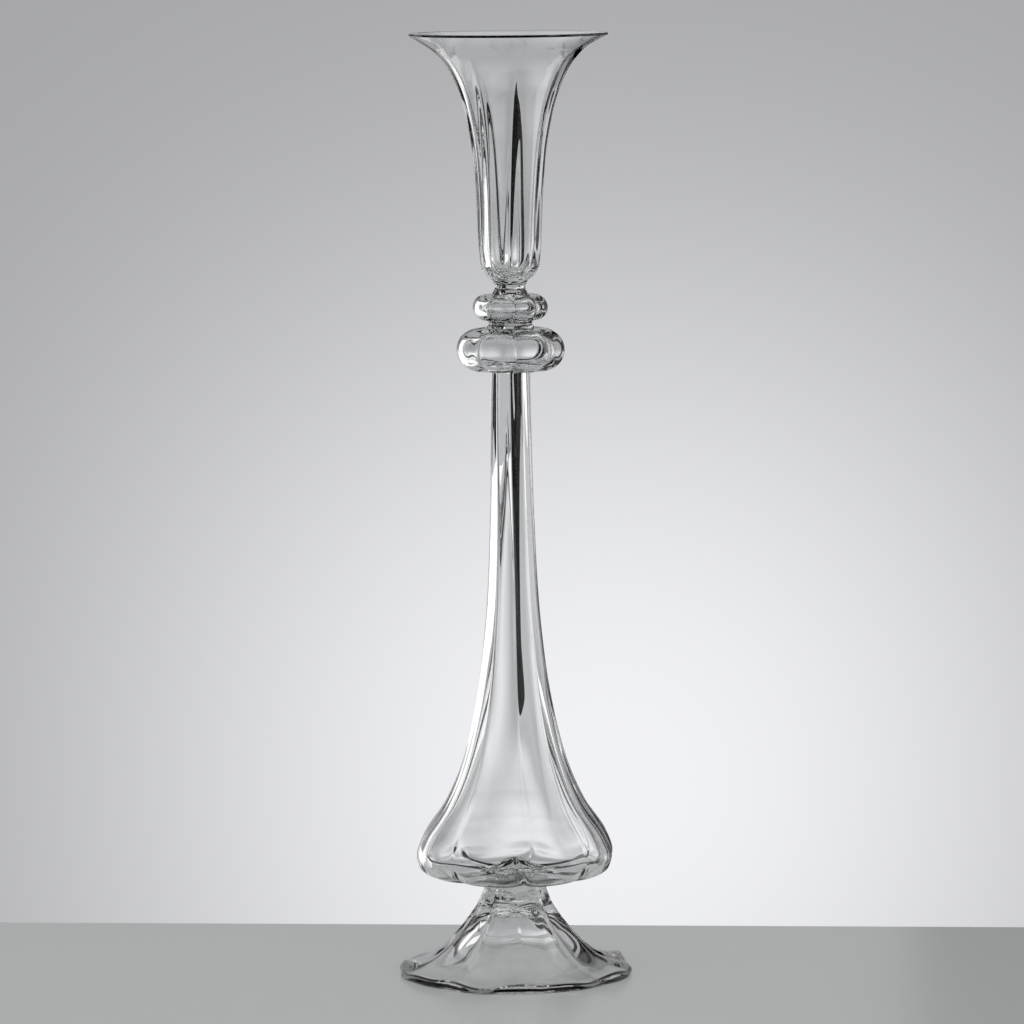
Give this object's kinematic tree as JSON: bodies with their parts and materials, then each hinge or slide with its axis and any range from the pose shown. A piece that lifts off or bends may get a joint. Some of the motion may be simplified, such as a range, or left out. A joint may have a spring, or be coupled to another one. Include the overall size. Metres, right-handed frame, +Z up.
{
  "type": "flower vase",
  "caption": "Tall clear glass flower vase: fluted trumpet bowl on a short neck, two lobed knops, a long fluted stem swelling to a closed bell, and a hollow flared foot.",
  "frame": {"origin": "centre of the foot, on the surface that the vase stands on", "axes": "+Z up along the vase's axis, from the foot to the mouth; -Y is the front, with one groove of the mould 5 degrees to its right"},
  "size_m": [0.1518, 0.1518, 0.61],
  "materials": {
    "clear_glass": "fire-polished, colourless",
    "seeded_glass": "colourless, clouded with fine bubbles"
  },
  "bodies": {
    "root": {"trumpet_bowl": "clear_glass", "neck_merese": "clear_glass", "upper_knop": "clear_glass", "waist_merese": "clear_glass", "lower_knop": "clear_glass", "stem_bell": "clear_glass", "foot_button": "seeded_glass", "foot": "clear_glass"}
  },
  "joints": []
}
